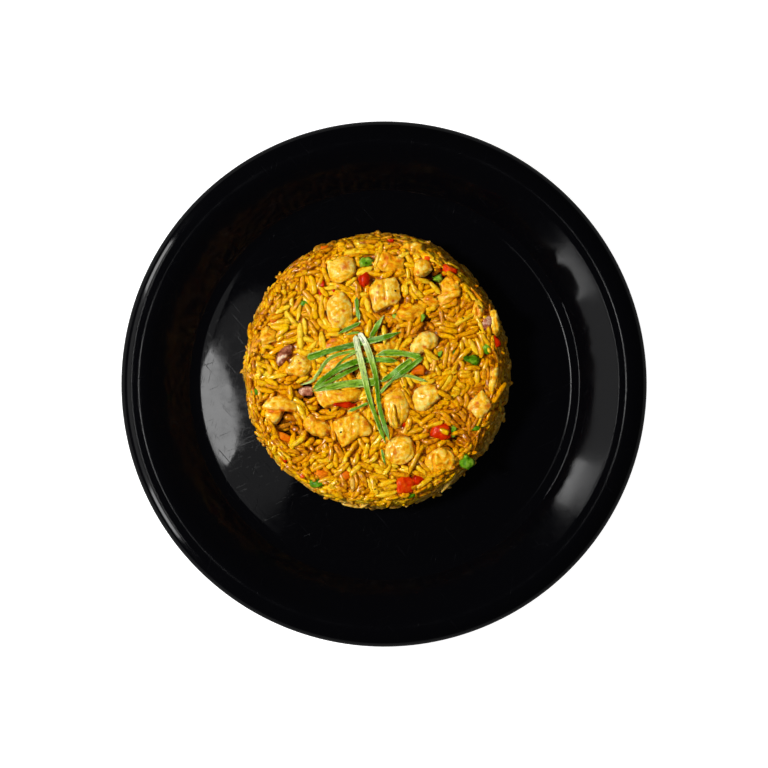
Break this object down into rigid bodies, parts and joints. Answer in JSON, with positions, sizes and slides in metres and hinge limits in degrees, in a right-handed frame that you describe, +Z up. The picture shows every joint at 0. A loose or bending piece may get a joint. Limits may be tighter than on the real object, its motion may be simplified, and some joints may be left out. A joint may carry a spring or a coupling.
{
  "type": "plate of chicken fried rice",
  "caption": "Round of yellow fried rice turned out on a black dinner plate, with diced chicken, chopped vegetables and shreds of spring onion on top.",
  "frame": {"origin": "on the table, under the middle of the plate", "axes": "+Z up, +Y to the far side of the plate, which is the top of the dish as it is looked down on, +X to the right"},
  "size_m": [0.2536, 0.2536, 0.041],
  "materials": {
    "plate": "glossy black melamine with fine wear scratches",
    "rice": "moist, lightly oiled grains",
    "chicken": "glazed cooked meat with browned spots",
    "red_pepper": "moist, glossy skin",
    "carrot": "moist cut vegetable",
    "onion": "moist, slightly see-through layer",
    "green": "moist chopped greens",
    "scallion": "satin leaf with fine lengthwise ribs"
  },
  "bodies": {
    "root": {"plate": "plate", "rice": "rice", "chicken_01": "chicken", "chicken_02": "chicken", "chicken_03": "chicken", "chicken_04": "chicken", "chicken_05": "chicken", "chicken_06": "chicken", "chicken_07": "chicken", "chicken_08": "chicken", "chicken_09": "chicken", "chicken_10": "chicken", "chicken_11": "chicken", "chicken_12": "chicken", "chicken_13": "chicken", "chicken_14": "chicken", "chicken_15": "chicken", "chicken_16": "chicken", "chicken_17": "chicken", "chicken_18": "chicken", "chicken_19": "chicken", "chicken_20": "chicken", "chicken_21": "chicken", "chicken_22": "chicken", "chicken_23": "chicken", "chicken_24": "chicken", "chicken_25": "chicken", "chicken_26": "chicken", "chicken_27": "chicken", "chicken_28": "chicken", "red_pepper_1": "red_pepper", "red_pepper_2": "red_pepper", "red_pepper_3": "red_pepper", "red_pepper_4": "red_pepper", "red_pepper_5": "red_pepper", "red_pepper_6": "red_pepper", "carrot_1": "carrot", "carrot_2": "carrot", "onion_1": "onion", "onion_2": "onion", "green_1": "green", "green_2": "green", "green_3": "green", "green_4": "green", "scallion_01": "scallion", "scallion_02": "scallion", "scallion_03": "scallion", "scallion_04": "scallion", "scallion_05": "scallion", "scallion_06": "scallion", "scallion_07": "scallion", "scallion_08": "scallion", "scallion_09": "scallion", "scallion_10": "scallion", "scallion_11": "scallion", "scallion_12": "scallion", "scallion_13": "scallion", "scallion_14": "scallion", "scallion_15": "scallion"}
  },
  "joints": []
}
